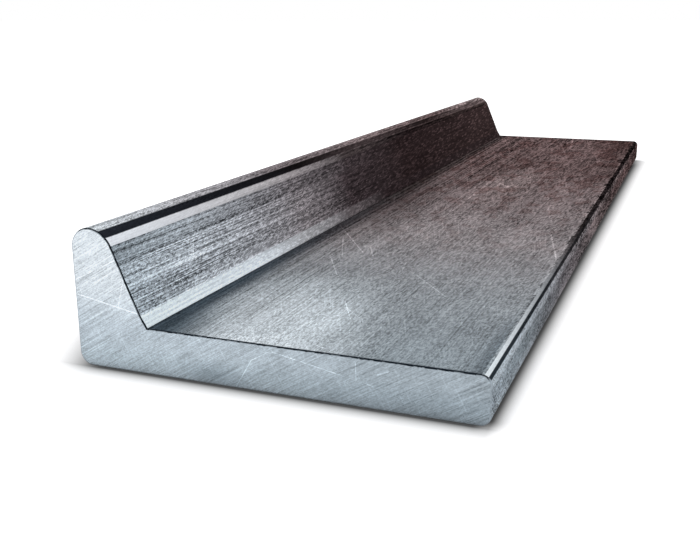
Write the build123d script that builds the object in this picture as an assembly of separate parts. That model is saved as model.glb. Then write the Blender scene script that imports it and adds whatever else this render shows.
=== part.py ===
from build123d import *
import math
import os

# A short length of bulb flat bar: hot rolled shipbuilding steel, one solid piece.
# Its section is a flat web with a bulb along one edge. The bulb stands up from one
# face of the web only, and the opposite face is one flat surface right across, so
# the bar lies steady on it.
#
# Frame, in millimetres: X runs across the bar, with the bulb on the -X side and the
# plain weld edge on the +X side. Y runs along the bar and Z is up. The origin is in
# the middle of the underside, at half the length.

# Overall sizes
bar_width = 60.0
bar_length = 230.0

# Web
web_thickness = 6.75
weld_edge_top_radius = 1.4
weld_edge_bottom_radius = 1.35

# Bulb. Its crown is two radii with a hair of flat between them, then a straight flank.
bulb_rise = 13.55
crown_outer_radius = 2.9
crown_flat = 0.05
crown_inner_radius = 3.8
flank_angle = 23.0
heel_radius = 2.0

# Foot of the flank, where it leans out further and meets the web in a sharp crease
foot_rise = 1.7
foot_lean = 9.0
foot_ease_radius = 6.0

# Sawn ends
end_chamfer = 0.2

# The places that follow from these sizes. Angles are measured from the vertical.
bulb_height = web_thickness + bulb_rise
foot_height = web_thickness + foot_rise
flank_slope = math.tan(math.radians(flank_angle))
foot_slope = math.tan(math.radians(flank_angle + foot_lean))
crown_inner_reach = crown_inner_radius * math.tan(math.radians((90 - flank_angle) / 2))
crown_width = crown_outer_radius + crown_flat + crown_inner_reach
flank_foot_x = crown_width + (bulb_height - foot_height) * flank_slope
crease_x = flank_foot_x + foot_rise * foot_slope


def section_corners():
    """Each corner of the section before rounding, with the radius that it is rolled to.

    X is counted from the bulb's outer face, and the second number is the height."""
    return [
        ((0, 0), heel_radius),
        ((0, bulb_height), crown_outer_radius),
        ((crown_width, bulb_height), crown_inner_radius),
        ((flank_foot_x, foot_height), foot_ease_radius),
        ((crease_x, web_thickness), None),
        ((bar_width, web_thickness), weld_edge_top_radius),
        ((bar_width, 0), weld_edge_bottom_radius),
    ]


def bar_section():
    """The rolled section as a face in the XZ plane, with the bar's width centred on X = 0."""
    with BuildSketch(Plane.XZ) as section:
        with BuildLine():
            Polyline(*[corner for corner, radius in section_corners()], close=True)
        make_face()
        for corner, radius in section_corners():
            if radius is not None:
                vertex = section.vertices().sort_by_distance(corner)[0]
                fillet(vertex, radius)
    return Pos(-bar_width / 2, 0, 0) * section.sketch


def roll_bar():
    """The section carried along the whole length, half to each side of the origin."""
    return extrude(bar_section(), amount=bar_length / 2, both=True)


def saw_ends(bar):
    """Both ends are sawn square, and the burr is broken off all round them."""
    end_edges = ShapeList()
    for end in bar.faces().filter_by(Axis.Y):
        end_edges.extend(end.edges())
    return chamfer(end_edges, end_chamfer)


def make_bulb_flat_bar():
    bar = saw_ends(roll_bar())
    bar.label = "bulb_flat_bar"
    return bar


def main():
    os.makedirs("parts", exist_ok=True)
    bar = make_bulb_flat_bar()
    export_step(bar, os.path.join("parts", "bulb_flat_bar.step"))
    print("bulb_flat_bar", "volume mm3", round(bar.volume, 1), "box", bar.bounding_box().size)


main()
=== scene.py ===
# %% [markdown]
# # A short length of bulb flat bar
#
# A bulb flat is ship's steel, rolled hot in one piece: a flat web, and along one edge of it a bulb
# that makes the bar stiff. This lesson takes the imported model as its frame, models the bar again
# with enough faces to carry a finish, and builds that finish: bright steel at the near end, a
# painted shade that darkens the bar towards a brown, oxide-tinted far end, painted highlights and
# shade on some strips, rolling streaks, grain, scratches and saw marks.

# %% Load the imported model
import math
from functools import partial

import bmesh
import bpy
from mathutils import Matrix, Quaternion, Vector


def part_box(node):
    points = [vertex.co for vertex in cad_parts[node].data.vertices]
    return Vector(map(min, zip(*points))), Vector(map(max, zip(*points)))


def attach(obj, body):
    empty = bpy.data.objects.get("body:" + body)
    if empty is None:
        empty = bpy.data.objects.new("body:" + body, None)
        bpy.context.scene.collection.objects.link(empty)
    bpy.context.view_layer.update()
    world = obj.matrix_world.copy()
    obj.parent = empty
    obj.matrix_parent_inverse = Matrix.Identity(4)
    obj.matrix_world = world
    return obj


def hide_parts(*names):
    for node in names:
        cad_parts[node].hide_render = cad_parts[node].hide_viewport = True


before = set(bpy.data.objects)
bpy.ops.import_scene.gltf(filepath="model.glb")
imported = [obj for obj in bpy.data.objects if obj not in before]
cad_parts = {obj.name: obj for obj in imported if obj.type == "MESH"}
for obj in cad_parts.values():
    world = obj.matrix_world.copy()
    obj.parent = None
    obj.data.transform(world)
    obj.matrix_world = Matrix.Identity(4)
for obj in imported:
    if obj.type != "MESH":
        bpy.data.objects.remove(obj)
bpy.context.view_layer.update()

# %% [markdown]
# ## The sizes of the section
#
# The box of the frame gives the bar's width, length and height. The rest of the section is named
# here, in metres, and follows from a few rolled sizes: how thick the web is, how far the flank of
# the bulb leans back, and how it leans out further at its foot, where it meets the web in a crease.

# %% Sizes
mm = 0.001

bar_low, bar_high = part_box("bulb_flat_bar")
bar_length = bar_high.y - bar_low.y
half_length = bar_length / 2
bar_width = bar_high.x - bar_low.x
bulb_top = bar_high.z

web_top = 6.75 * mm
foot_top = web_top + 1.7 * mm
flank_lean = math.radians(23)
foot_lean = math.radians(32)
heel_radius = 2.0 * mm
crown_outer_radius = 2.9 * mm
crown_inner_radius = 3.8 * mm
crown_flat = 0.05 * mm
foot_ease_radius = 6.0 * mm
weld_edge_radius = 1.4 * mm
end_bevel = 0.2 * mm

crown_reach = crown_inner_radius * math.tan((math.pi / 2 - flank_lean) / 2)
crown_x = bar_low.x + crown_outer_radius + crown_flat + crown_reach
flank_foot_x = crown_x + (bulb_top - foot_top) * math.tan(flank_lean)
crease_x = flank_foot_x + (foot_top - web_top) * math.tan(foot_lean)
print("crease, mm from the weld edge:", round((bar_high.x - crease_x) / mm, 2))

# %% [markdown]
# ## Selecting by place
#
# In a window an edge is picked with the mouse. In a script it is picked by asking each edge where
# it is. Every operator acts on all that is selected, so each of these helpers first clears the
# selection, and then selects only what answers yes.

# %% Helpers that select
def is_near(value, wanted):
    return abs(value - wanted) < 0.02 * mm


def start_selecting(kind):
    """Clears the selection, says which kind of part is next, and gives back the open mesh."""
    bpy.ops.mesh.select_mode(type=kind)
    bpy.ops.mesh.select_all(action="DESELECT")
    return bmesh.from_edit_mesh(bar.data)


def select_edges(is_wanted):
    """Selects the edges for which is_wanted(one end, other end) is true, and counts them."""
    steel = start_selecting("EDGE")
    chosen = [edge for edge in steel.edges if is_wanted(edge.verts[0].co, edge.verts[1].co)]
    for edge in chosen:
        edge.select_set(True)
    bmesh.update_edit_mesh(bar.data)
    return len(chosen)


def select_long_edge(x, z):
    """Selects what lies along the bar at this place of its section, and counts it."""
    return select_edges(lambda a, b: all(is_near(end.x, x) and is_near(end.z, z) for end in (a, b)))


def select_top_of_bulb(height):
    """Selects the face on the bulb's side that lies level at this height."""
    steel = start_selecting("FACE")
    for face in steel.faces:
        middle = face.calc_center_median()
        if is_near(middle.z, height) and face.normal.z > 0.9 and middle.x < crease_x:
            face.select_set(True)
    bmesh.update_edit_mesh(bar.data)


# %% [markdown]
# ## Modelling the bar
#
# The real bar is squeezed to its section between rolls. Here it starts as a cube with the size of
# the flat web. A bisect marks where the bulb begins, and the strip beside it is extruded upwards
# twice: first as high as the foot of the flank, then to the crown. After each extrude the right
# edge of the new top is moved to the left, so that the flank leans.

# %% The web and the bulb, with sharp corners
bpy.ops.object.select_all(action="DESELECT")
bpy.ops.mesh.primitive_cube_add(
    size=1,
    location=(0, 0, web_top / 2),
    scale=(bar_width, bar_length, web_top),
)
bar = bpy.context.active_object
bar.name = "rolled_bar"
bar.data.name = "rolled_bar"
bpy.ops.object.transform_apply(location=True, rotation=True, scale=True)

bpy.ops.object.mode_set(mode="EDIT")
bpy.ops.mesh.select_all(action="SELECT")
bpy.ops.mesh.bisect(plane_co=(crease_x, 0, 0), plane_no=(1, 0, 0))


def raise_bulb(old_top, new_top, old_edge_x, new_edge_x):
    """Extrudes the bulb's top upwards, and moves the right edge of the new top to its place."""
    select_top_of_bulb(old_top)
    bpy.ops.mesh.extrude_region_move(TRANSFORM_OT_translate={"value": (0, 0, new_top - old_top)})
    select_long_edge(old_edge_x, new_top)
    bpy.ops.transform.translate(value=(new_edge_x - old_edge_x, 0, 0))


raise_bulb(web_top, foot_top, crease_x, flank_foot_x)
raise_bulb(foot_top, bulb_top, flank_foot_x, crown_x)

bpy.ops.mesh.select_all(action="SELECT")
bpy.ops.mesh.dissolve_limited(angle_limit=math.radians(0.5))
bpy.ops.mesh.select_all(action="SELECT")
bpy.ops.mesh.normals_make_consistent(inside=False)
print("faces with sharp corners:", len(bmesh.from_edit_mesh(bar.data).faces))

# %% [markdown]
# ## Rolling the long corners round
#
# No corner of a rolled bar is sharp, apart from the crease beside the web. Each long corner gets a
# bevel. The bevel's width is measured from the corner to where the curve begins, and for a radius
# that is the radius times the tangent of half the angle that the surface turns through.

# %% Round corners
def bevel_selected(width, steps):
    bpy.ops.mesh.bevel(offset_type="OFFSET", offset=width, segments=steps, profile=0.5, affect="EDGES")


def round_long_corner(x, z, radius, turn, steps):
    """Rounds the long edge at this place of the section."""
    found = select_long_edge(x, z)
    width = radius * math.tan(turn / 2)
    bevel_selected(width, steps)
    print("corner at", round(x / mm, 2), round(z / mm, 2), "edges", found, "bevel", round(width / mm, 2))


square_turn = math.pi / 2
round_long_corner(bar_low.x, 0, heel_radius, square_turn, 8)
round_long_corner(bar_low.x, bulb_top, crown_outer_radius, square_turn, 12)
round_long_corner(crown_x, bulb_top, crown_inner_radius, square_turn - flank_lean, 12)
round_long_corner(flank_foot_x, foot_top, foot_ease_radius, foot_lean - flank_lean, 4)
round_long_corner(bar_high.x, web_top, weld_edge_radius, square_turn, 10)
round_long_corner(bar_high.x, 0, weld_edge_radius, square_turn, 8)

# %% [markdown]
# ## Breaking the burr at the sawn ends
#
# A saw leaves a burr all round the cut, and a stroke of a file takes it off. The outline of both
# ends is selected as the edges whose two vertices lie in the plane of an end, and one narrow bevel
# goes round it.

# %% Broken edges at the ends
def is_in_an_end(a, b):
    return is_near(abs(a.y), half_length) and is_near(abs(b.y), half_length) and a.y * b.y > 0


found = select_edges(is_in_an_end)
bevel_selected(end_bevel, 2)
print("edges broken at the ends:", found)

# %% [markdown]
# ## Faces enough for a rolled surface
#
# The flat runs of the outline are divided across, each into pieces that suit its length, and then
# every long edge is divided along the bar. The result is a net of small faces, on which the next
# step can lay the shallow waves that rolls leave.

# %% Divide the surface
def divide_runs(shortest, longest, pieces):
    """Divides the straight runs of the outline whose length is between these two."""
    found = select_edges(lambda a, b: is_near(a.y, b.y) and shortest < (a - b).length < longest)
    bpy.ops.mesh.subdivide(number_cuts=pieces - 1)
    print("runs of", shortest / mm, "to", longest / mm, "mm:", found)


divide_runs(0.9 * mm, 2.5 * mm, 3)
divide_runs(2.5 * mm, 5 * mm, 6)
divide_runs(5 * mm, 12 * mm, 24)
divide_runs(12 * mm, 20 * mm, 16)
divide_runs(40 * mm, 60 * mm, 56)

shortest_long_edge = 2 * mm
for cuts in (99, 1):
    found = select_edges(lambda a, b: abs(a.y - b.y) > shortest_long_edge)
    bpy.ops.mesh.subdivide(number_cuts=cuts)
    print("long edges:", found, "faces:", len(bmesh.from_edit_mesh(bar.data).faces))

# %% [markdown]
# ## The waves that the rolls leave
#
# Hot steel takes up every small fault of the roll, and the fault is drawn out along the bar. A
# Displace modifier with a cloud texture makes such waves. Its coordinates come from an empty that
# is stretched along the bar, so the clouds become long streaks. With a mid level of one the
# surface only ever sinks, so the bar stays inside its true size. A vertex group keeps the
# underside, the ends and the crease as they are.

# %% Rolled waves
steel = start_selecting("VERT")
quiet = 0.6 * mm
for vertex in steel.verts:
    is_between_ends = abs(vertex.co.y) < half_length - quiet
    is_beside_crease = abs(vertex.co.x - crease_x) < quiet and vertex.co.z < foot_top
    vertex.select_set(is_between_ends and vertex.co.z > heel_radius and not is_beside_crease)
bmesh.update_edit_mesh(bar.data)
bpy.ops.object.vertex_group_add()
bar.vertex_groups.active.name = "rolled"
bpy.ops.object.vertex_group_assign()
bpy.ops.object.mode_set(mode="OBJECT")

bpy.ops.object.empty_add(location=(0, 0, 0))
stretch = bpy.context.active_object
stretch.scale = (1.0 * mm, 24.0 * mm, 1.0 * mm)
wave_clouds = bpy.data.textures.new("rolled_waves", "CLOUDS")
wave_clouds.noise_scale = 1.6
wave_clouds.noise_depth = 2

bpy.ops.object.select_all(action="DESELECT")
bar.select_set(True)
bpy.context.view_layer.objects.active = bar
waves = bar.modifiers.new("rolled_waves", "DISPLACE")
waves.texture = wave_clouds
waves.texture_coords = "OBJECT"
waves.texture_coords_object = stretch
waves.vertex_group = "rolled"
waves.mid_level = 1.0
waves.strength = 0.03 * mm
bpy.ops.object.modifier_apply(modifier="rolled_waves")
bpy.data.objects.remove(stretch)

bpy.ops.object.shade_smooth_by_angle(angle=math.radians(22))
print("triangles:", sum(len(face.vertices) - 2 for face in bar.data.polygons))

# %% [markdown]
# ## Small helpers for nodes
#
# A finish is a tree of nodes. These helpers place one node each and give back its output, so that
# a tree reads from top to bottom like a sum. A value that is itself an output is linked, and a
# plain number is written into the socket. A socket knows the tree that it is in, so a node that
# an output feeds goes into the same tree. A node group is made once, with named inputs and
# outputs, and then placed like any other node.

# %% Feeding a socket and placing a node
def feed(socket, value):
    if isinstance(value, bpy.types.NodeSocket):
        socket.id_data.links.new(value, socket)
    else:
        socket.default_value = value


def place_node(tree, kind, sockets, **settings):
    """Places one node and gives back its outputs. Its inputs are known by number or by name."""
    made = tree.nodes.new("ShaderNode" + kind)
    for setting, value in settings.items():
        setattr(made, setting, value)
    for socket, value in sockets.items():
        feed(made.inputs[socket], value)
    return made.outputs


def fed_node(kind, sockets, **settings):
    """Places one node in the tree of the outputs that feed it."""
    feeding = [value for value in sockets.values() if isinstance(value, bpy.types.NodeSocket)]
    return place_node(feeding[0].id_data, kind, sockets, **settings)

# %% Sums
def reckon(operation, *values):
    """One Math node."""
    return fed_node("Math", dict(enumerate(values)), operation=operation)[0]


times = partial(reckon, "MULTIPLY")
plus = partial(reckon, "ADD")
minus = partial(reckon, "SUBTRACT")
divided = partial(reckon, "DIVIDE")
times_plus = partial(reckon, "MULTIPLY_ADD")
larger = partial(reckon, "MAXIMUM")
smaller = partial(reckon, "MINIMUM")


# %% Vectors
def reckon_vector(operation, *values):
    """One Vector Math node. Its second output is the one with a length or a product in it."""
    outputs = fed_node("VectorMath", dict(enumerate(values)), operation=operation)
    return outputs["Value" if operation in ("LENGTH", "DOT_PRODUCT") else "Vector"]


def scaled(vector, factor):
    """A vector or a colour times one number."""
    return fed_node("VectorMath", {0: vector, "Scale": factor}, operation="SCALE")[0]


def joined(x, y, z):
    """Three numbers as one vector."""
    return fed_node("CombineXYZ", {"X": x, "Y": y, "Z": z})[0]


def parted(vector):
    """The three numbers of a vector, by the names X, Y and Z."""
    return fed_node("SeparateXYZ", {0: vector})


def turned(vector, axis, angle):
    """A vector turned about an axis through the origin."""
    sockets = {"Vector": vector, "Angle": angle}
    return fed_node("VectorRotate", sockets, rotation_type=axis + "_AXIS")[0]

# %% Textures, steps and mixes
def voronoi(vector, dimensions="3D"):
    """A Voronoi Texture whose cells are one unit of vector across."""
    sockets = {"Vector": vector, "Scale": 1.0}
    return fed_node("TexVoronoi", sockets, voronoi_dimensions=dimensions)


def noise(vector, detail, roughness):
    """A Noise Texture whose largest lumps are one unit of vector across."""
    sockets = {"Vector": vector, "Scale": 1.0, "Detail": detail, "Roughness": roughness}
    return fed_node("TexNoise", sockets)[0]


def eased(value, low, high, first=0.0, last=1.0):
    """A Map Range node that goes smoothly from first to last as value goes from low to high."""
    sockets = dict(enumerate((value, low, high, first, last)))
    return fed_node("MapRange", sockets, interpolation_type="SMOOTHSTEP")[0]


def mixed(factor, below, above):
    """A Mix node for two colours."""
    return fed_node("Mix", {0: factor, 6: below, 7: above}, data_type="RGBA")[2]


def mixed_value(factor, below, above):
    """A Mix node for two numbers."""
    return fed_node("Mix", {0: factor, 2: below, 3: above})[0]

# %% Node groups
origin = (0.0, 0.0, 0.0)


def new_group(name, inputs, outputs):
    """A shader node group, the sockets that its inputs come from, and those of its outputs. The
    kind of each input follows from its first value."""
    kinds = {float: "NodeSocketFloat", 3: "NodeSocketVector", 4: "NodeSocketColor"}
    group = bpy.data.node_groups.new(name, "ShaderNodeTree")
    for label, value in inputs.items():
        kind = kinds[float if isinstance(value, float) else len(value)]
        socket = group.interface.new_socket(label, in_out="INPUT", socket_type=kind)
        socket.default_value = value
    for label, kind in outputs.items():
        group.interface.new_socket(label, in_out="OUTPUT", socket_type="NodeSocket" + kind)
    entry = group.nodes.new("NodeGroupInput").outputs
    leave = group.nodes.new("NodeGroupOutput").inputs
    print("group", name, "takes", list(inputs), "and gives", list(outputs))
    return group, entry, leave


def place_group(tree, group, **values):
    """A group node with these inputs. A blank in a socket's name is written as _ here."""
    sockets = {label.replace("_", " "): value for label, value in values.items()}
    return place_node(tree, "Group", sockets, node_tree=group)


# %% [markdown]
# ## Where on the bar a point lies
#
# Every pattern here starts from a point's place on the bar, in millimetres, because a streak or a
# scratch has a size that can be measured. Object coordinates give that place in metres. The group
# also gives the share of the length, from nought at the near end to one at the far end.

# %% Node group: place on the bar
bar_place, entry, leave = new_group(
    "bar_place",
    {},
    {"Place": "Vector", "Across": "Float", "Along": "Float", "Up": "Float", "Share": "Float"},
)
place_mm = scaled(place_node(bar_place, "TexCoord", {})["Object"], 1 / mm)
parts = parted(place_mm)
feed(leave["Place"], place_mm)
for label, axis in (("Across", "X"), ("Along", "Y"), ("Up", "Z")):
    feed(leave[label], parts[axis])
feed(leave["Share"], times_plus(parts["Y"], mm / bar_length, 0.5))

# %% [markdown]
# ## Patterns that coarsen along the bar
#
# Scale and oxide are finer on the worked, near end and coarser towards the far end. This group
# stretches the place so that a pattern grows along the bar: the distance along runs as a
# logarithm, and Growth Across says how far the pattern also widens. Streaks keep a Growth Across
# of nought, because they have to stay parallel to the bar.

# %% Node group: coarsening place
coarser_place, entry, leave = new_group(
    "coarser_place", {"Growth Along": 6.0, "Growth Across": 1.5}, {"Place": "Vector"}
)
where = place_group(coarser_place, bar_place)
grown = times_plus(where["Share"], entry["Growth Along"], 1.0)
along = times(reckon("LOGARITHM", grown, math.e), bar_length / mm)
along = divided(along, entry["Growth Along"])
widened = times_plus(where["Share"], entry["Growth Across"], 1.0)
across = divided(where["Across"], widened)
up = divided(where["Up"], widened)
feed(leave["Place"], joined(across, along, up))

# %% [markdown]
# ## Hairlines
#
# Brushing, sawing and handling leave fine straight lines, some bright and some dark. They come
# from one noise in cells that are long one way and narrow the other, cut off near its top and its
# bottom, so that only a few slim marks are left. Whoever places the group turns the place first,
# and so chooses which way the lines run.

# %% Node group: hairlines
hairlines, entry, leave = new_group(
    "hairlines",
    {"Place": origin, "Cell": (0.3, 30.0, 0.3), "Rarity": 0.6},
    {"Lines": "Float", "Bright": "Float"},
)
line_place = reckon_vector("DIVIDE", entry["Place"], entry["Cell"])
line_noise = noise(line_place, 1.0, 0.5)
full = plus(entry["Rarity"], 0.07)
bright = eased(line_noise, entry["Rarity"], full)
dark_full = minus(1.0, full)
dark_none = minus(1.0, entry["Rarity"])
dark = eased(line_noise, dark_full, dark_none, 1.0, 0.0)
feed(leave["Bright"], bright)
feed(leave["Lines"], minus(bright, dark))

# %% [markdown]
# ## Rolling streaks
#
# The rolls draw every speck of scale out into a streak along the bar. The streaks are a noise
# whose coordinates are divided by a streak's width across and by its length along, with finer
# streaks inside the broad ones, and hairlines between them. Towards the far end fine hairlines
# fade into broad ones.

# %% Node group: rolling streaks
rolling_streaks, entry, leave = new_group(
    "rolling_streaks",
    {"Place": origin, "Width": 0.3, "Length": 16.0, "Lines": 0.2},
    {"Streaks": "Float"},
)
cell = joined(entry["Width"], entry["Length"], entry["Width"])
stretched = reckon_vector("DIVIDE", entry["Place"], cell)
streaks = noise(stretched, 1.0, 0.8)
fine, broad = (
    place_group(rolling_streaks, hairlines, Place=entry["Place"], Cell=line_cell, Rarity=0.6)["Lines"]
    for line_cell in ((0.16, 24.0, 0.16), (0.5, 60.0, 0.5))
)
share = place_group(rolling_streaks, bar_place)["Share"]
far = eased(share, 0.1, 0.7)
lines = times(mixed_value(far, fine, broad), entry["Lines"])
feed(leave["Streaks"], plus(streaks, lines))

# %% [markdown]
# ## Speckle
#
# Grain is the fine salt and pepper of a surface that was blasted or pickled, and brushing leaves
# slivers of light and dark that are many times longer than they are wide. Both are crisp, and a
# smooth noise is not, so they come from a Voronoi texture: each small cell gets one random level.
# Skew bends the levels, so that most cells are dark and only a few shine out.

# %% Node group: speckle
speckle, entry, leave = new_group(
    "speckle", {"Place": origin, "Cell": (0.12, 0.5, 0.12), "Skew": 1.0}, {"Lumps": "Float"}
)
cells = voronoi(reckon_vector("DIVIDE", entry["Place"], entry["Cell"]))
level = reckon("POWER", parted(cells["Color"])["X"], entry["Skew"])
usual = divided(1.0, plus(entry["Skew"], 1.0))
feed(leave["Lumps"], plus(minus(level, usual), 0.5))

# %% [markdown]
# ## Clouds
#
# Clouds are the soft blotches, a few millimetres wide, where the scale came off unevenly. A smooth
# noise is right for them. Stretch draws them out along the bar, as the rolls do.

# %% Node group: clouds
clouds_group, entry, leave = new_group(
    "clouds", {"Place": origin, "Size": 5.0, "Stretch": 1.0}, {"Lumps": "Float"}
)
long_side = times(entry["Size"], entry["Stretch"])
cell = joined(entry["Size"], long_side, entry["Size"])
clouds_place = reckon_vector("DIVIDE", entry["Place"], cell)
feed(leave["Lumps"], noise(clouds_place, 3.0, 0.52))

# %% [markdown]
# ## One scratch
#
# A scratch is a straight line between two points, as wide as a hair. The group measures how far a
# point is from that line, and lets the mark fade out with the distance. A little noise breaks it
# up, since a real scratch skips.

# %% Node group: one scratch
one_scratch, entry, leave = new_group(
    "one_scratch",
    {"Place": origin, "Start": origin, "End": (1.0, 0.0, 0.0), "Width": 0.1},
    {"Mark": "Float"},
)
from_start = reckon_vector("SUBTRACT", entry["Place"], entry["Start"])
run = reckon_vector("SUBTRACT", entry["End"], entry["Start"])
run_squared = reckon_vector("DOT_PRODUCT", run, run)
part = reckon_vector("DOT_PRODUCT", from_start, run)
part = divided(part, run_squared)
part = smaller(larger(part, 0.0), 1.0)
nearest = scaled(run, part)
gap = reckon_vector("LENGTH", reckon_vector("SUBTRACT", from_start, nearest))
gap_share = divided(gap, entry["Width"])
mark = eased(gap_share, 0.0, 1.0, 1.0, 0.0)
skips = eased(noise(entry["Place"], 3.0, 0.7), 0.35, 0.6, 0.25, 1.0)
feed(leave["Mark"], times(mark, skips))

# %% [markdown]
# ## Stray scratches
#
# Besides the long scratches there are hundreds of short ones, in no order. A Voronoi texture
# divides the surface into cells, and hands each cell its own centre and a random colour. The
# colour turns a short line through the centre, and most cells are left empty.

# %% Node group: stray scratches
stray_scratches, entry, leave = new_group(
    "stray_scratches", {"Place": origin, "Cell": 6.0, "Width": 0.07, "Kept": 0.3}, {"Mark": "Float"}
)
cell = joined(entry["Cell"], entry["Cell"], entry["Cell"])
cell_place = reckon_vector("DIVIDE", entry["Place"], cell)
cells = voronoi(cell_place, "2D")
offset = reckon_vector("SUBTRACT", cell_place, cells["Position"])
chance = parted(cells["Color"])
angle = times(chance["X"], math.pi)
arms = parted(turned(offset, "Z", angle))
off_line = divided(times(reckon("ABSOLUTE", arms["Y"]), entry["Cell"]), entry["Width"])
mark = eased(off_line, 0.0, 1.0, 1.0, 0.0)
half_run = times_plus(chance["Z"], 0.3, 0.1)
run_share = divided(reckon("ABSOLUTE", arms["X"]), half_run)
mark = times(mark, eased(run_share, 0.7, 1.0, 1.0, 0.0))
is_kept = reckon("LESS_THAN", chance["Y"], entry["Kept"])
feed(leave["Mark"], times(mark, is_kept))

# %% [markdown]
# ## Bands
#
# Several strips of the bar have their own tone: the light foot of the flank, the dark line below
# the crown, the crease. A band is one where a measure lies between two values and nought outside
# them, with soft borders.

# %% Node group: band
band, entry, leave = new_group(
    "band", {"Measure": 0.0, "From": 0.0, "To": 1.0, "Softness": 0.1}, {"Mask": "Float"}
)
half_soft = times(entry["Softness"], 0.5)
borders = []
for border in ("From", "To"):
    low = minus(entry[border], half_soft)
    high = plus(entry[border], half_soft)
    borders.append(eased(entry["Measure"], low, high))
rising, falling = borders
falling = minus(1.0, falling)
feed(leave["Mask"], times(rising, falling))

# %% [markdown]
# ## Soft patches
#
# A patch is a soft oval, one at its centre and nought at its rim. The near end of the web was
# rubbed brightest around one such place, and other parts of it are dull in the same soft way.

# %% Node group: soft patch
soft_patch, entry, leave = new_group(
    "soft_patch", {"Place": origin, "Centre": origin, "Reach": (10.0, 10.0, 10.0)}, {"Mask": "Float"}
)
from_centre = reckon_vector("SUBTRACT", entry["Place"], entry["Centre"])
from_centre = reckon_vector("DIVIDE", from_centre, entry["Reach"])
rim_share = reckon_vector("LENGTH", from_centre)
feed(leave["Mask"], eased(rim_share, 0.0, 1.0, 1.0, 0.0))

# %% [markdown]
# ## The rolled finish
#
# Every face of the bar is the same steel, so they share one group. It takes the plain tint of a
# face and gives back the tint with streaks, brushing, grain, clouds and scratches in it. Each
# pattern swings about one, so the tint as a whole keeps its tone. The sum gives the roughness too,
# because a dark speck of scale is also less glossy. The height comes from the broad patterns alone,
# less the scratches, and towards the far end small blotches of oxide darken the tint. Calm is for
# strips of painted light and shade, where the patterns nearly vanish, and Brushed adds depth to the
# brushing.

# %% Node group: rolled finish
rolled_finish, entry, leave = new_group(
    "rolled_finish",
    {
        "Tint": (0.5, 0.5, 0.5, 1.0), "Streak Width": 0.6, "Streak Length": 12.0, "Streak Lines": 0.3,
        "Streak Depth": 1.0, "Brush Cell": (0.14, 4.0, 0.14), "Brush Depth": 0.4, "Brush Fade": 0.0,
        "Brushed": 0.0, "Grain Cell": (0.12, 0.5, 0.12), "Grain Depth": 0.5, "Grain Skew": 0.0,
        "Cloud Size": 4.0, "Cloud Depth": 0.5, "Blotches": 0.0, "Cross Lines": 0.2, "Depth Growth": 0.6,
        "Calm": 0.0, "Scratches": 0.0, "Scratch Gain": 1.4,
    },
    {"Color": "Color", "Roughness": "Float", "Height": "Float"},
)
tree = rolled_finish
growth_along = 6.5
straight, fanned = (
    place_group(tree, coarser_place, Growth_Along=growth_along, Growth_Across=across)["Place"]
    for across in (0.0, 1.9)
)
share = place_group(tree, bar_place)["Share"]
far = eased(share, 0.05, 0.6)

# %% Rolled finish: streaks, brushing, grain and clouds
streak_shape = {part: entry["Streak " + part] for part in ("Width", "Length", "Lines")}
streaks = place_group(tree, rolling_streaks, Place=straight, **streak_shape)["Streaks"]
far_streak_loss = 0.7
streak_depth = times(times_plus(far, -far_streak_loss, 1.0), entry["Streak Depth"])

far_brush_size = 2.6
fine_brush, coarse_brush = (
    place_group(tree, speckle, Place=straight, Cell=cell)["Lumps"]
    for cell in (entry["Brush Cell"], scaled(entry["Brush Cell"], far_brush_size))
)
brush = mixed_value(far, fine_brush, coarse_brush)
brushed = plus(entry["Brushed"], 1.0)
kept = minus(1.0, times(entry["Brush Fade"], far))
brush_depth = times(times(entry["Brush Depth"], brushed), kept)

skew = times_plus(entry["Grain Skew"], share, 1.0)
grain = place_group(tree, speckle, Place=fanned, Cell=entry["Grain Cell"], Skew=skew)["Lumps"]
clouds = place_group(tree, clouds_group, Place=fanned, Size=entry["Cloud Size"], Stretch=1.6)["Lumps"]

# %% Rolled finish: the sum of the patterns
def add_swings(swing, patterns):
    """Adds patterns, each with the level that it swings about and its depth."""
    for pattern, middle, depth in patterns:
        swing = times_plus(minus(pattern, middle), depth, swing)
    return swing


relief_swing = add_swings(0.0, ((streaks, 0.5, streak_depth), (clouds, 0.5, entry["Cloud Depth"])))
swing = add_swings(relief_swing, ((brush, 0.5, brush_depth), (grain, 0.5, entry["Grain Depth"])))
for degrees, length, rarity in ((-30, 10.0, 0.65), (18, 16.0, 0.65), (55, 6.0, 0.66)):
    slanted = turned(fanned, "Z", math.radians(degrees))
    cross = place_group(tree, hairlines, Place=slanted, Cell=(0.2, length, 5.0), Rarity=rarity)
    swing = times_plus(cross["Bright"], entry["Cross Lines"], swing)

full_calm = 0.88
darkest = 0.15
depth_now = times_plus(share, entry["Depth Growth"], 1.0)
calm_now = times(entry["Calm"], minus(1.0, far))
liveliness = times_plus(calm_now, -full_calm, 1.0)
depth_now = times(depth_now, liveliness)
swing = times_plus(swing, depth_now, 1.0)
swing = larger(swing, darkest)
gain = times_plus(entry["Scratches"], entry["Scratch Gain"], 1.0)

# %% Rolled finish: oxide and outputs
oxide_tint = (0.72, 0.63, 0.62, 1.0)
blotch_noise = noise(scaled(fanned, 0.5), 5.0, 0.7)
blotch_depth = times(entry["Blotches"], far)
blotch = times(eased(blotch_noise, 0.5, 0.58), blotch_depth)
oxide = mixed(blotch, (1.0, 1.0, 1.0, 1.0), oxide_tint)
tinted = reckon_vector("MULTIPLY", entry["Tint"], oxide)
patterned = scaled(tinted, times(swing, gain))
feed(leave["Color"], patterned)
feed(leave["Roughness"], eased(swing, 0.4, 1.6, 0.56, 0.36))
cut = times(entry["Scratches"], 0.5)
feed(leave["Height"], minus(relief_swing, cut))
print("rolled_finish nodes:", len(tree.nodes))
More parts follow.
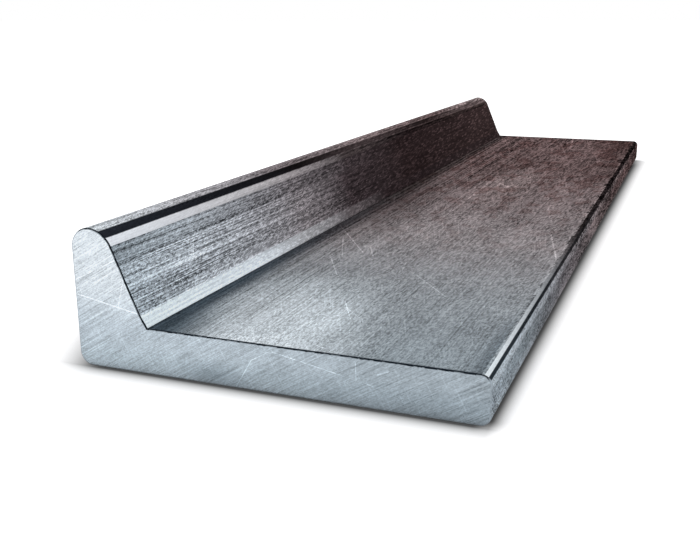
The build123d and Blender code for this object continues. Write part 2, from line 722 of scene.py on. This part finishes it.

# %% [markdown]
# ## Tints that run along the bar
#
# The near end is bright, bluish steel. Towards the far end the tone turns brown and dark: a brown
# oxide tint, and a painted shade that darkens the bar along its length. A Colour Ramp over the share
# of the length holds that run, and each face has its own. From the middle on the flank's run is the
# darkest, painted shade on a face that leans away from the lamp. Colours are written as they look
# on a screen, nought to 255, and turned into the linear numbers that Blender reckons with.

# %% Colours and runs
def tint(red, green, blue):
    """A screen colour as a linear one."""
    linear = []
    for level in (red / 255, green / 255, blue / 255):
        linear.append(level / 12.92 if level <= 0.04045 else ((level + 0.055) / 1.055) ** 2.4)
    return (*linear, 1.0)


def tint_run(share, stops):
    """A Colour Ramp along the bar. Each stop is a place along it, in millimetres, and the red,
    green and blue of its colour."""
    ramp = share.id_data.nodes.new("ShaderNodeValToRGB")
    elements = ramp.color_ramp.elements
    for number, (along, *colour) in enumerate(stops):
        position = (along * mm + half_length) / bar_length
        stop = elements[number] if number < 2 else elements.new(position)
        stop.position = position
        stop.color = tint(*colour)
    feed(ramp.inputs[0], share)
    return ramp.outputs[0]


# Each run darkens towards the far end: a brown oxide tint and a painted shade along the bar.
web_run = [
    (-115, 141, 151, 158), (-85, 144, 149, 154), (-50, 138, 133, 135),
    (-10, 123, 112, 113), (35, 98, 83, 83), (90, 102, 85, 85),
]
flank_run = [
    (-115, 166, 177, 186), (-97, 179, 186, 194), (-57, 140, 135, 139),
    (-32, 70, 61, 64), (10, 52, 41, 42), (115, 70, 56, 56),
]
flank_top_run = [
    (-115, 136, 146, 154), (-97, 148, 155, 162), (-57, 123, 118, 122),
    (-27, 74, 65, 68), (10, 52, 41, 42), (115, 70, 56, 56),
]
flank_foot_highlight_run = [
    (-115, 235, 248, 255), (-80, 237, 246, 255), (-60, 186, 187, 192),
    (-36, 110, 103, 106), (-12, 48, 39, 41), (80, 58, 47, 48),
]
crown_run = [
    (-115, 190, 197, 203), (-90, 178, 178, 183), (-60, 118, 111, 114),
    (0, 133, 118, 119), (50, 106, 89, 89), (115, 164, 149, 149),
]
crown_dark_reflection_run = [
    (-115, 40, 44, 51), (-50, 22, 19, 20), (-10, 64, 55, 56),
    (40, 33, 25, 25), (115, 108, 94, 94),
]
crown_highlight_run = [
    (-115, 236, 241, 248), (-80, 208, 207, 211), (-57, 171, 165, 168),
    (-27, 80, 71, 72), (20, 38, 29, 30), (115, 66, 55, 54),
]
side_run = [
    (-115, 178, 190, 200), (-97, 131, 141, 148), (-57, 112, 109, 113),
    (-10, 125, 112, 113), (40, 94, 77, 77), (115, 97, 78, 77),
]
print("web at the near end, linear:", [round(level, 3) for level in tint(*web_run[0][1:])])

# %% [markdown]
# ## Scratches one by one
#
# A handful of scratches are long enough to be known by their place, so each is placed by its two
# ends, in millimetres: across and along on the web, across and up on the sawn end.

# %% The long scratches
web_scratches = [
    ((-17.8, -44.9), (-5.4, -64.5), 0.16),
    ((2.6, -93.6), (6.4, -101.2), 0.10),
    ((4.2, -96.7), (7.5, -100.3), 0.09),
    ((4.2, -100.0), (4.2, -96.7), 0.08),
    ((8.3, -75.7), (16.1, -85.8), 0.12),
    ((-5.5, -60.1), (-2.6, -66.8), 0.14),
    ((-10.1, -68.8), (-4.1, -80.4), 0.11),
    ((-13.2, -54.6), (-7.8, -68.8), 0.12),
    ((-4.5, -71.2), (-2.0, -68.6), 0.11),
    ((-4.9, -88.1), (-4.8, -79.2), 0.11),
    ((5.3, -74.3), (4.2, -68.4), 0.11),
    ((-14.6, -57.9), (-17.7, -48.9), 0.13),
    ((26.7, -95.7), (29.2, -97.0), 0.10),
    ((24.5, -37.8), (28.9, -59.0), 0.26),
    ((0.4, -33.0), (-0.1, 25.9), 0.10),
    ((7.4, 10.2), (8.6, 29.1), 0.14),
    ((0.6, 18.4), (6.1, 11.0), 0.34),
    ((10.7, 87.2), (8.6, 108.0), 0.50),
]
end_scratches = [
    ((-29.9, 10.6), (-19.7, 8.7), 0.13),
    ((-19.7, 8.7), (-18.4, 8.2), 0.09),
    ((0.7, 5.9), (10.6, 4.0), 0.11),
    ((-2.4, 4.3), (-4.8, 0.2), 0.10),
    ((-2.4, 4.3), (0.7, 6.1), 0.08),
    ((15.4, 4.8), (16.8, 5.4), 0.11),
    ((-22.0, 12.7), (-22.9, 9.5), 0.10),
    ((-29.7, 12.7), (-21.9, 16.6), 0.07),
    ((12.4, 6.0), (12.5, 3.6), 0.07),
    ((13.5, 3.5), (14.9, 3.1), 0.08),
]
print("long scratches on the web and on the end:", len(web_scratches), len(end_scratches))


def scratch_marks(tree, place, scratches):
    """The strongest of several scratches. Each is a start, an end and a width in millimetres."""
    marks = 0.0
    for start, end, width in scratches:
        mark = place_group(tree, one_scratch, Place=place, Start=start, End=end, Width=width)["Mark"]
        marks = larger(mark, marks)
    return marks


# %% [markdown]
# ## Making a steel material
#
# The function below builds one face's material: a tint that runs along the bar, soft patches and
# strips with tints of their own, the rolled finish over them, and the shader. Steel under oxide is
# a poor mirror, so the metal share falls from the bright near end to nought before the middle.

# %% A new material
near_metal = 0.45
metal_until = 0.45
relief_height = 0.012 * mm
stray_share = 0.25
stray_depth = 0.6


def new_material(name):
    material = bpy.data.materials.new(name)
    material.use_nodes = True
    shader = material.node_tree.nodes["Principled BSDF"]
    shader.inputs["Specular IOR Level"].default_value = 0.0
    shader.inputs["Specular Tint"].default_value = (0.35, 0.33, 0.33, 1.0)
    return material, material.node_tree, shader


def bump(shader, height, strength, distance):
    """Feeds the shader's normal from a height."""
    sockets = {"Strength": strength, "Distance": distance, "Height": height}
    feed(shader.inputs["Normal"], fed_node("Bump", sockets)[0])

# %% One function for the rolled faces
def new_rolled_steel(name, run, strips, patterns, scratches=(), patches=(), brushed=None):
    """A rolled face. A strip is a measure, where it starts and ends and how soft it is, each at the
    near and at the far end of the bar, how calm its patterns are, and its run. A patch is a centre,
    a reach and a tint. Brushed is a place across where the extra brushing is still full, a place
    where it ends, and how much it adds."""
    material, tree, shader = new_material(name)
    where = place_group(tree, bar_place)
    colour = tint_run(where["Share"], run)
    for centre, reach, patch_tint in patches:
        mask = place_group(tree, soft_patch, Place=where["Place"], Centre=centre, Reach=reach)["Mask"]
        colour = mixed(mask, colour, tint(*patch_tint))
    calm = 0.0
    for measure, *limits, calmness, strip_run in strips:
        start, end, soft = (
            times_plus(where["Share"], far - near, near) for near, far in limits
        )
        mask = place_group(tree, band, Measure=where[measure], From=start, To=end, Softness=soft)["Mask"]
        colour = mixed(mask, colour, tint_run(where["Share"], strip_run))
        calm = mixed_value(mask, calm, calmness)
    strays = place_group(tree, stray_scratches, Place=where["Place"], Kept=stray_share)["Mark"]
    marks = scratch_marks(tree, where["Place"], scratches)
    marks = larger(marks, times(strays, stray_depth))
    if brushed:
        full_until, none_from, extra = brushed
        mask = eased(where["Across"], full_until, none_from, extra, 0.0)
        patterns = {**patterns, "Brushed": mask}
    finish = place_group(tree, rolled_finish, Tint=colour, Calm=calm, Scratches=marks, **patterns)
    feed(shader.inputs["Base Color"], finish["Color"])
    feed(shader.inputs["Roughness"], finish["Roughness"])
    metal = eased(where["Share"], 0.0, metal_until, near_metal, 0.0)
    feed(shader.inputs["Metallic"], metal)
    bump(shader, finish["Height"], 0.5, relief_height)
    print(name, "nodes:", len(tree.nodes), "strips:", len(strips), "scratches:", len(scratches))
    return material


# %% [markdown]
# ## The web
#
# The web is the widest face: fairly even steel with clouds and fine grain, brushed lengthwise
# beside the crease. Two strips darken it towards the crease: a wide painted shade where the bulb
# keeps the light out, and a painted dark line in the crease itself. The patches are a painted
# highlight at the near end, more painted shade beside the crease, lighter and darker places
# elsewhere, and the dark line at the saw cut.

# %% Web material
web_patterns = dict(
    Streak_Width=0.6, Streak_Length=25.0, Streak_Lines=0.5, Streak_Depth=0.3,
    Brush_Cell=(0.14, 20.0, 0.14), Brush_Depth=0.28,
    Grain_Cell=(0.12, 0.4, 0.12), Grain_Depth=0.8, Grain_Skew=0.5,
    Cloud_Size=5.0, Cloud_Depth=0.7, Blotches=1.0, Cross_Lines=0.25, Depth_Growth=1.0,
)
web_level = 6.75
web_patches = [
    # A painted highlight on the near end of the web, in two patches.
    ((-1.5, -115.0), (19.0, 42.0), (216, 225, 232)),
    ((-8.0, -100.0), (12.0, 20.0), (186, 193, 199)),
    # Painted shade beside the crease at the near end.
    ((-16.0, -115.0), (8.0, 20.0), (86, 97, 105)),
    ((5.0, 14.0), (10.0, 40.0), (124, 111, 111)),
    # A wide painted shade beside the crease along the middle of the bar.
    ((-19.0, -14.0), (20.0, 68.0), (62, 53, 54)),
    ((27.0, 110.0), (15.0, 50.0), (66, 50, 49)),
    ((30.0, -108.0), (5.0, 26.0), (96, 106, 114)),
    ((24.0, -115.0), (40.0, 0.6), (22, 29, 36)),
]
crease_shade_run = [(-115, 74, 86, 95), (-90, 72, 83, 92), (-50, 66, 65, 69), (0, 61, 54, 54), (115, 75, 65, 65)]
crease_line_shade_run = [(-115, 26, 34, 42), (-50, 36, 38, 42), (0, 36, 30, 30), (115, 50, 40, 40)]
web_steel = new_rolled_steel(
    "web_steel",
    web_run,
    [
        # Painted shade beside the crease, and a painted dark line in the crease itself.
        ("Across", (-40.0, -40.0), (-15.4, -15.7), (4.0, 3.2), 0.1, crease_shade_run),
        ("Across", (-40.0, -40.0), (-18.25, -18.1), (0.2, 0.4), 0.8, crease_line_shade_run),
    ],
    web_patterns,
    [((*start, web_level), (*end, web_level), width) for start, end, width in web_scratches],
    [((*centre, web_level), (*reach, 10.0), colour) for centre, reach, colour in web_patches],
    brushed=(-14.0, 2.0, 2.2),
)

# %% [markdown]
# ## The flank and its foot
#
# The flank is the roughest face: brushed strongly at the near end, and from the middle on painted
# dark, a painted shade, under fine specks of oxide. Its foot leans out, and a painted highlight
# makes it a light strip along the crease; like most strips of painted light and shade it is calm.

# %% Flank material
flank_patterns = dict(
    Streak_Width=0.32, Streak_Length=50.0, Streak_Lines=0.6, Streak_Depth=0.6,
    Brush_Cell=(0.16, 30.0, 0.16), Brush_Depth=1.3, Brush_Fade=0.85,
    Grain_Cell=(0.12, 0.4, 0.12), Grain_Depth=1.3, Grain_Skew=5.0,
    Cloud_Size=4.0, Cloud_Depth=0.4, Cross_Lines=0.0, Depth_Growth=0.5,
)
flank_steel = new_rolled_steel(
    "flank_steel",
    flank_run,
    [
        ("Up", (15.4, 15.4), (19.0, 19.0), (1.0, 1.0), 0.0, flank_top_run),
        # The foot of the flank: a painted highlight.
        ("Up", (0.0, 0.0), (8.45, 8.45), (0.2, 0.4), 0.9, flank_foot_highlight_run),
    ],
    flank_patterns,
)

# %% [markdown]
# ## The crown, the outer face and the underside
#
# The crown shows three strips side by side: bright steel on top, a painted dark reflection over
# the radius, and a painted highlight where the flank begins. The outer face and the underside are
# plain.

# %% Crown material
crown_patterns = dict(
    Streak_Width=0.4, Streak_Length=25.0, Streak_Lines=0.2, Streak_Depth=1.4,
    Brush_Cell=(0.14, 16.0, 0.14), Brush_Depth=0.7,
    Grain_Cell=(0.12, 0.5, 0.12), Grain_Depth=1.1, Grain_Skew=2.0,
    Cloud_Size=3.0, Cloud_Depth=0.6, Cross_Lines=0.0, Depth_Growth=0.4,
)
crown_steel = new_rolled_steel(
    "crown_steel",
    crown_run,
    [
        # A painted dark reflection over the radius, and a painted highlight where the flank begins.
        ("Across", (-25.5, -25.5), (-24.3, -24.3), (0.12, 0.5), 0.8, crown_dark_reflection_run),
        ("Across", (-24.3, -24.3), (-20.0, -20.0), (0.12, 0.3), 1.0, crown_highlight_run),
    ],
    crown_patterns,
)
outer_steel = new_rolled_steel("outer_steel", crown_run, [], web_patterns)

# %% [markdown]
# ## The weld edge
#
# The plain edge and its two small radii. The upper radius has a painted highlight strip and,
# below it, a painted dark reflection that runs the whole length, and a painted glint below that.

# %% Weld edge material
# A painted highlight strip, a painted dark reflection below it, and a painted glint lower down.
edge_highlight_run = [
    (-115, 232, 241, 247), (-90, 194, 200, 206), (-70, 130, 132, 136),
    (-50, 88, 84, 86), (-30, 46, 40, 41), (60, 30, 24, 24),
]
edge_dark_reflection_run = [(-115, 49, 57, 63), (-60, 44, 44, 47), (0, 34, 29, 30), (115, 34, 28, 28)]
edge_glint_run = [
    (-115, 199, 211, 220), (-90, 170, 178, 186), (-50, 139, 135, 139),
    (0, 117, 106, 107), (115, 104, 85, 84),
]
edge_foot_run = [
    (-115, 200, 212, 221), (-97, 156, 165, 173), (-57, 125, 121, 125),
    (0, 101, 91, 91), (115, 85, 69, 68),
]
edge_patterns = dict(
    Streak_Width=0.5, Streak_Length=8.0, Streak_Lines=0.1, Streak_Depth=0.8,
    Brush_Cell=(0.12, 1.0, 0.12), Brush_Depth=0.2,
    Grain_Cell=(0.12, 0.4, 0.12), Grain_Depth=1.3, Grain_Skew=0.5,
    Cloud_Size=4.0, Cloud_Depth=2.0, Cross_Lines=0.0, Depth_Growth=1.4,
)
weld_edge_steel = new_rolled_steel(
    "weld_edge_steel",
    side_run,
    [
        ("Up", (-1.0, -1.0), (2.2, 2.2), (1.6, 1.6), 0.0, edge_foot_run),
        # A painted glint, then a painted highlight strip and a painted dark reflection.
        ("Up", (4.9, 4.9), (6.3, 6.3), (0.6, 0.6), 0.4, edge_glint_run),
        ("Across", (20.0, 20.0), (28.98, 28.98), (0.1, 0.3), 0.0, web_run),
        ("Across", (28.98, 28.98), (29.48, 29.5), (0.05, 0.16), 1.0, edge_highlight_run),
        ("Across", (29.46, 29.4), (29.79, 29.8), (0.04, 0.1), 0.9, edge_dark_reflection_run),
    ],
    edge_patterns,
)

# %% [markdown]
# ## The sawn ends
#
# The saw leaves fine marks that rise to the right: soft ones from a noise, crisp slivers from the
# speckle, and a few hairlines, with some steep strokes the other way. The bulb's end is the
# brightest place on the bar. The far end has the oxide of the faces round it.

# %% Sawn end: the tint
near_end = -115.0
sawn_end, tree, shader = new_material("sawn_end")
where = place_group(tree, bar_place)
left_right = eased(where["Across"], -20.0, 28.0)
colour = mixed(left_right, tint(198, 210, 219), tint(170, 181, 189))
low_colour = mixed(left_right, tint(198, 212, 221), tint(163, 176, 185))
colour = mixed(eased(where["Up"], 1.5, 5.5), low_colour, colour)
colour = mixed(eased(where["Up"], 5.5, 14.0), colour, tint(232, 241, 248))
# A painted shade low on the end, near the floor.
shade_spot_centre = (-8.0, near_end, 1.2)
shade_spot_reach = (8.0, 5.0, 3.0)
shade_spot = place_group(tree, soft_patch, Place=where["Place"], Centre=shade_spot_centre, Reach=shade_spot_reach)["Mask"]
colour = mixed(shade_spot, colour, tint(156, 169, 178))
colour = mixed(where["Share"], colour, tint(112, 100, 99))

# %% Sawn end: saw marks
saw_rise = math.radians(31)
steep_rise = math.radians(-62)
saw_depth = 0.01 * mm
saw_place = turned(where["Place"], "Y", saw_rise)
saw_marks = noise(reckon_vector("DIVIDE", saw_place, (6.0, 50.0, 0.26)), 1.0, 1.0)
saw_slivers = place_group(tree, speckle, Place=saw_place, Cell=(5.0, 50.0, 0.12))["Lumps"]
saw_lines = place_group(tree, hairlines, Place=saw_place, Cell=(7.0, 50.0, 0.13), Rarity=0.6)["Lines"]
long_lines = place_group(tree, hairlines, Place=saw_place, Cell=(22.0, 50.0, 0.25), Rarity=0.66)["Bright"]
steep_place = turned(where["Place"], "Y", steep_rise)
steep_cell = (6.0, 50.0, 0.16)
steep_lines = place_group(tree, hairlines, Place=steep_place, Cell=steep_cell, Rarity=0.65)["Bright"]
clouds = place_group(tree, clouds_group, Place=where["Place"], Size=4.0)["Lumps"]
grain = place_group(tree, speckle, Place=saw_place, Cell=(0.25, 50.0, 0.13))["Lumps"]
swing = add_swings(1.0, (
    (saw_marks, 0.5, 0.16), (saw_slivers, 0.5, 0.28), (saw_lines, 0.0, 0.16), (long_lines, 0.0, 0.2),
    (steep_lines, 0.0, 0.18), (clouds, 0.5, 0.45), (grain, 0.5, 0.34),
))
marks = scratch_marks(
    tree,
    where["Place"],
    [
        ((across, near_end, up), (far_across, near_end, far_up), width)
        for (across, up), (far_across, far_up), width in end_scratches
    ],
)
gain = times_plus(marks, 0.8, 1.0)
feed(shader.inputs["Base Color"], scaled(colour, times(swing, gain)))
feed(shader.inputs["Roughness"], eased(swing, 0.6, 1.4, 0.5, 0.34))
shader.inputs["Metallic"].default_value = 0.4
bump(shader, minus(saw_marks, marks), 0.4, saw_depth)
print("sawn_end nodes:", len(tree.nodes), "scratches:", len(end_scratches))

# %% [markdown]
# ## The broken edges
#
# The narrow bevel round each end shows as a dark line at the near end. At the far end it is
# painted light, a painted highlight.

# %% Broken edge material
broken_edge, tree, shader = new_material("broken_edge")
where = place_group(tree, bar_place)
# Dark at the near end, and a painted highlight at the far end.
colour = mixed(where["Share"], tint(22, 29, 36), tint(140, 130, 130))
grain = place_group(tree, speckle, Place=where["Place"], Cell=(0.4, 0.4, 0.4))["Lumps"]
from_end = minus(half_length / mm, reckon("ABSOLUTE", where["Along"]))
ragged = times_plus(minus(grain, 0.5), 0.06, from_end)
worn = eased(ragged, 0.0, 0.04, 1.0, 0.0)
outside = place_group(tree, band, Measure=where["Across"], From=-28.6, To=29.55, Softness=0.5)["Mask"]
outside = minus(1.0, outside)
low = place_group(tree, band, Measure=where["Up"], From=-1.0, To=3.0, Softness=2.0)["Mask"]
worn = larger(worn, larger(outside, low))
worn_tint = mixed(where["Share"], tint(160, 171, 180), tint(76, 60, 60))
colour = mixed(worn, colour, worn_tint)
swing = times_plus(grain, 0.4, 0.8)
feed(shader.inputs["Base Color"], scaled(colour, swing))
feed(shader.inputs["Roughness"], eased(swing, 0.6, 1.4, 0.6, 0.45))
print("broken_edge nodes:", len(tree.nodes))

# %% [markdown]
# ## Giving each face its material
#
# The bar is one object, so the materials are given face by face. A face is known by its place in
# the section and by which way it looks.

# %% Materials by place
finishes = [web_steel, flank_steel, crown_steel, outer_steel, weld_edge_steel, sawn_end, broken_edge]
for finish in finishes:
    bar.data.materials.append(finish)
crown_foot_z = bulb_top - crown_inner_radius * (1 - math.sin(flank_lean))
crown_side_z = bulb_top - crown_outer_radius
weld_edge_x = bar_high.x - weld_edge_radius


def finish_of(face):
    middle = face.center
    if abs(face.normal.y) > 0.95:
        return sawn_end
    if abs(middle.y) > half_length - end_bevel:
        return broken_edge
    if middle.x > weld_edge_x:
        return weld_edge_steel
    if face.normal.z < -0.5 or middle.x < bar_low.x + heel_radius and middle.z < crown_side_z:
        return outer_steel
    if middle.x > crease_x:
        return web_steel
    return flank_steel if middle.z < crown_foot_z and face.normal.x > 0 else crown_steel


counts = dict.fromkeys((finish.name for finish in finishes), 0)
for face in bar.data.polygons:
    finish = finish_of(face)
    face.material_index = finishes.index(finish)
    counts[finish.name] += 1
print("faces of each finish:", counts)

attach(bar, "root")
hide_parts("bulb_flat_bar")

# %% [markdown]
# ## Floor, backdrop and light
#
# The bar lies on a plain white floor under a plain studio sky. The floor is a matt white that the
# camera, and any reflection of it, sees a little brighter than it is, so that it runs into the
# white backdrop. A soft shade is laid into its paint where the bar keeps the light out: it is
# darkest under the bar and fades with the distance beyond the weld edge, the bulb and the ends,
# each with its own reach and power, and a soft patch thins it at two corners. The sky gives most
# of the light, evenly, and one very broad lamp high up on the left rounds the forms and lets the
# bulb shade the crease.

# %% Floor
floor_gap = 0.03 * mm
weld_edge_foot = 29.7
bulb_foot = -26.0
bulb_slant = 0.46
end_foot = 115.4
floor_white = (0.82, 0.82, 0.83)
camera_lift = 0.6
mirrored_lift = 0.15
bpy.ops.object.select_all(action="DESELECT")
bpy.ops.mesh.primitive_plane_add(size=40, location=(0, 0, -floor_gap))
floor = bpy.context.active_object
floor.name = "floor"
floor_paint = bpy.data.materials.new("floor_paint")
floor_paint.use_nodes = True
tree = floor_paint.node_tree
tree.nodes.clear()

# %% The shade in the floor's paint
where = place_group(tree, bar_place)
share = smaller(larger(where["Share"], 0.0), 1.0)
inward = smaller(times(share, bar_length / mm), 12.0)
right_reach = times_plus(share, 1.0, 1.4)
beyond_right = minus(where["Across"], weld_edge_foot)
beyond_bulb = minus(bulb_foot, where["Across"])
beyond_bulb = times_plus(inward, -bulb_slant, beyond_bulb)
beyond_end = minus(reckon("ABSOLUTE", where["Along"]), end_foot)
fade = 0.0
for beyond, reach, power in (
    (beyond_right, right_reach, 1.5), (beyond_bulb, 6.9, 1.9), (beyond_end, 2.05, 0.95),
):
    part = divided(larger(beyond, 0.0), reach)
    fade = plus(reckon("POWER", part, power), fade)
corners = (((30.2, -115.4, 0.0), (2.6, 2.6, 5.0)), ((30.5, 115.0, 0.0), (3.0, 14.0, 5.0)))
for centre, reach in corners:
    corner = place_group(tree, soft_patch, Place=where["Place"], Centre=centre, Reach=reach)["Mask"]
    fade = times_plus(corner, 0.3, fade)
shade_depth = 0.93
shade = reckon("EXPONENT", times(fade, -1.0))
clear = times_plus(shade, -shade_depth, 1.0)

# %% The floor's paint
path = place_node(tree, "LightPath", {})
mirrored = larger(path["Is Glossy Ray"], path["Is Transmission Ray"])
lift = times(mirrored, mirrored_lift)
lift = larger(lift, times(path["Is Camera Ray"], camera_lift))
matt = fed_node("BsdfDiffuse", {"Color": scaled(floor_white, clear)})[0]
glow = fed_node("Emission", {"Strength": times(lift, clear)})[0]
both = fed_node("AddShader", {0: matt, 1: glow})[0]
fed_node("OutputMaterial", {"Surface": both})
floor.data.materials.append(floor_paint)
print("floor, mm below the bar:", round(floor_gap / mm, 3), "nodes:", len(tree.nodes))

# %% Sky and lamp
sky_level = 0.80
world = bpy.data.worlds.new("studio_sky")
bpy.context.scene.world = world
world.use_nodes = True
tree = world.node_tree
sky = tree.nodes["Background"]
sky.inputs["Color"].default_value = (1.0, 1.0, 1.0, 1.0)
path = place_node(tree, "LightPath", {})
seen = larger(path["Is Glossy Ray"], path["Is Transmission Ray"])
seen = larger(seen, path["Is Camera Ray"])
feed(sky.inputs["Strength"], times_plus(seen, 1.0 - sky_level, sky_level))

bpy.ops.object.light_add(type="SUN", location=(-0.4, -0.1, 0.6))
lamp = bpy.context.active_object
lamp.name = "broad_lamp"
lamp.rotation_euler = Vector((0.65, 0.10, -0.76)).to_track_quat("-Z", "Y").to_euler()
lamp.data.energy = 0.8
lamp.data.angle = math.radians(60)
print("sky level:", sky_level, "lamp level:", round(lamp.data.energy, 2))

# %% [markdown]
# ## The camera
#
# The camera stands close to the near end, to the right of the bar's middle line and well above it,
# and looks down along the bar. Close to so slim a thing the perspective is strong: the far end is
# less than a third as wide in the picture as the near one.

# %% Camera
bpy.ops.object.camera_add(location=(50.514 * mm, -214.703 * mm, 47.842 * mm))
camera = bpy.context.active_object
camera.name = "camera"
turn_left = math.radians(21.2643)
look_down = math.radians(90 - 15.5195)
roll = math.radians(-0.148)
camera.rotation_mode = "QUATERNION"
camera.rotation_quaternion = (
    Quaternion((0, 0, 1), turn_left) @ Quaternion((1, 0, 0), look_down) @ Quaternion((0, 0, 1), roll)
)
camera.data.sensor_width = 36.0
camera.data.lens = 46.357
camera.data.clip_start = 1.0 * mm
camera.data.clip_end = 100.0
bpy.context.scene.camera = camera
bpy.context.scene.view_settings.view_transform = "Standard"
to_near_end = camera.location - Vector((0, bar_low.y, 0))
print("camera, mm from the near end:", round(to_near_end.length / mm, 1))

# %% [markdown]
# ## The end
#
# At the end the selection is cleared. The visual model has to keep to the box of the imported one.

# %% Finish
bpy.ops.object.select_all(action="DESELECT")
